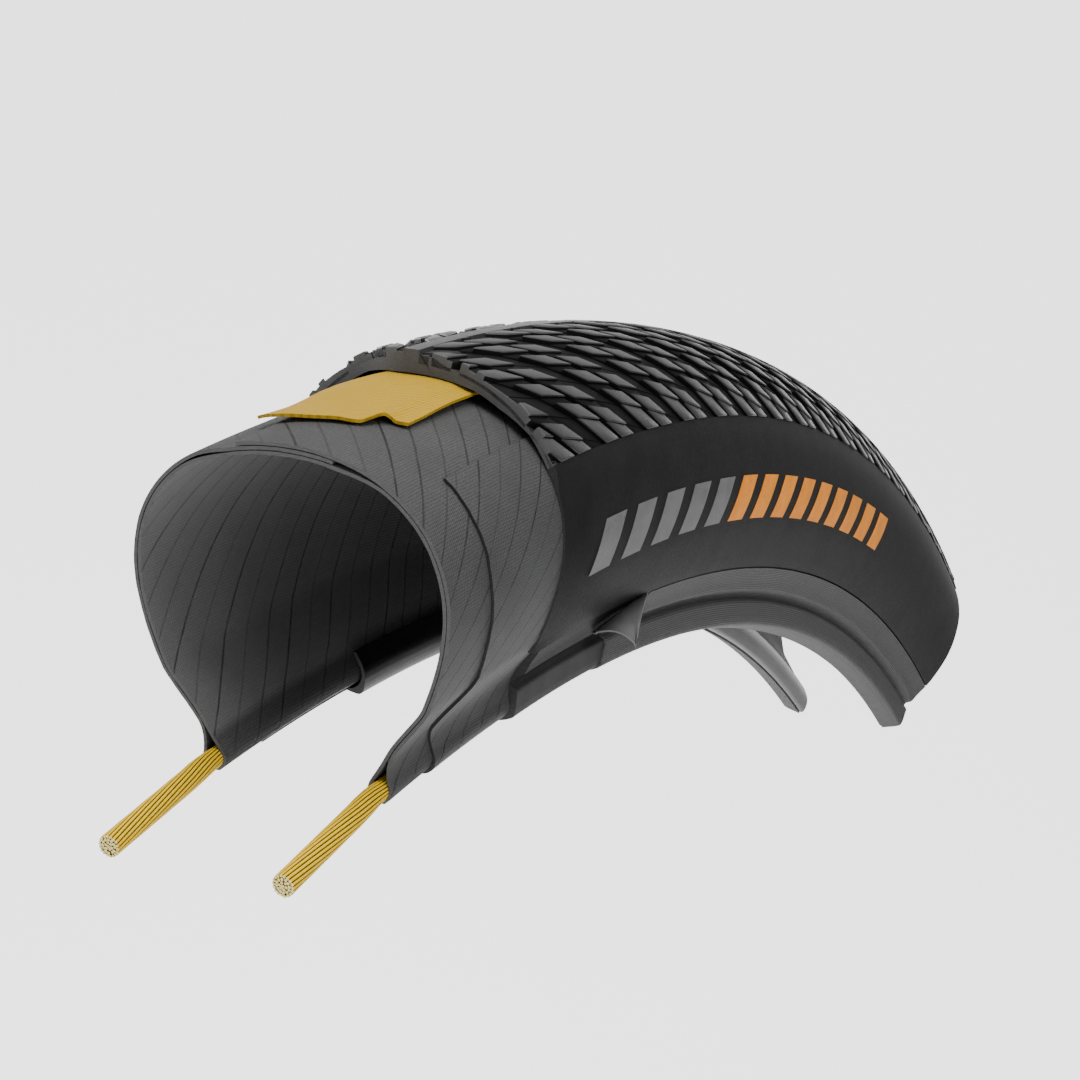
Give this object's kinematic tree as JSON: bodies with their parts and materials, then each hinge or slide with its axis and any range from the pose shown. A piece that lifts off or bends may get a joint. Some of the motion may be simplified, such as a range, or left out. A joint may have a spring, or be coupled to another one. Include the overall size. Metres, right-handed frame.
{
  "type": "bicycle tire section",
  "caption": "Cut-away section of a folding bicycle tire: aramid bead cores, carcass ply, side plies, breaker, tread and sidewalls, each layer stepped back to show the next.",
  "frame": {"origin": "on the bead seat circle at the tire's mid-plane, in the front cut through the casing", "axes": "+Z points out from the wheel's axis to the tread, +X along the tire to the far cut, and Y along the wheel's axis with the right side at -Y"},
  "size_m": [0.244, 0.0372, 0.1127],
  "materials": {
    "aramid_cord": "satin yarn",
    "carcass_cloth": "rubberised cord cloth",
    "side_cloth": "rubberised cord cloth",
    "rim_rubber": "smooth moulded rubber",
    "chafer_cloth": "square woven cloth",
    "sidewall_rubber": "fine moulded rubber",
    "breaker_cloth": "twill cloth",
    "tread_rubber": "moulded tread rubber",
    "grey_film": "printed film",
    "orange_film": "printed film"
  },
  "bodies": {
    "root": {"bead_left_centre_strand": "aramid_cord", "bead_left_inner_strands": "aramid_cord", "bead_left_middle_strands": "aramid_cord", "bead_left_outer_strands": "aramid_cord", "bead_right_centre_strand": "aramid_cord", "bead_right_inner_strands": "aramid_cord", "bead_right_middle_strands": "aramid_cord", "bead_right_outer_strands": "aramid_cord", "carcass_ply": "carcass_cloth", "side_ply_left": "side_cloth", "side_ply_right": "side_cloth", "rim_strip_left": "rim_rubber", "rim_strip_right": "rim_rubber", "chafer_left": "chafer_cloth", "chafer_right": "chafer_cloth", "sidewall_left": "sidewall_rubber", "sidewall_right": "sidewall_rubber", "breaker": "breaker_cloth", "tread": "tread_rubber", "grey_bars_transfer": "grey_film", "orange_bars_transfer": "orange_film"}
  },
  "joints": []
}
